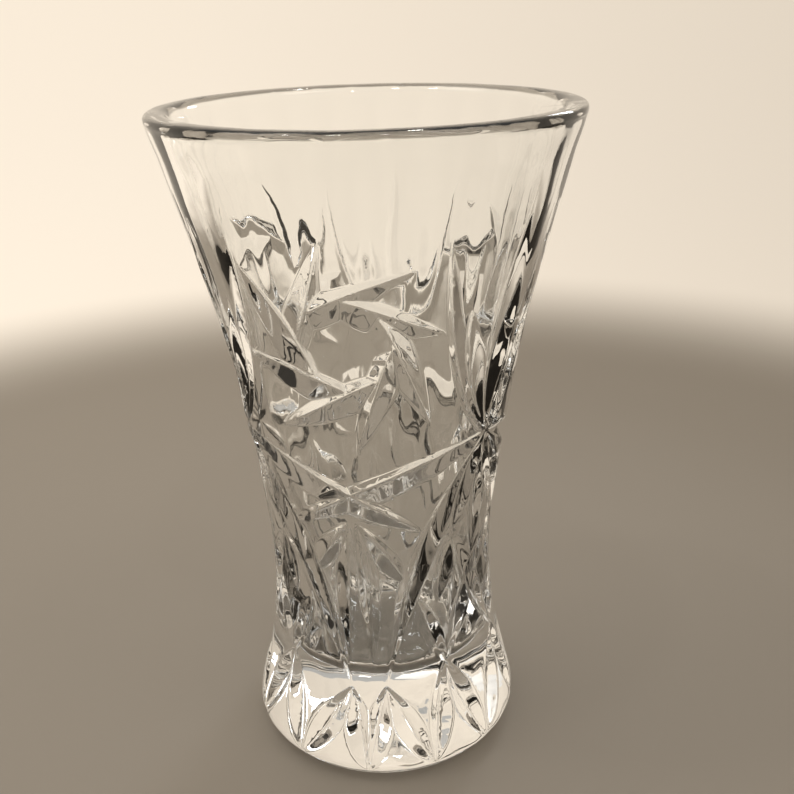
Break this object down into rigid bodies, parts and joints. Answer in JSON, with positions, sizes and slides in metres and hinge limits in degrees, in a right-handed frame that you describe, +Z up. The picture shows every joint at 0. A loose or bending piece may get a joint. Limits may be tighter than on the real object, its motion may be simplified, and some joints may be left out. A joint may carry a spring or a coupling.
{
  "type": "cut crystal vase",
  "caption": "Flared cut crystal vase with a narrow waist, a thick solid base, and pinwheel, star and fan cuts round the outside.",
  "frame": {"origin": "on the resting plane, under the centre of the foot", "axes": "+Z up along the vase's axis; -Y faces the middle of one pinwheel"},
  "size_m": [0.1208, 0.1208, 0.2],
  "materials": {
    "crystal": "polished clear crystal"
  },
  "bodies": {
    "root": {"vase_body": "crystal"}
  },
  "joints": []
}
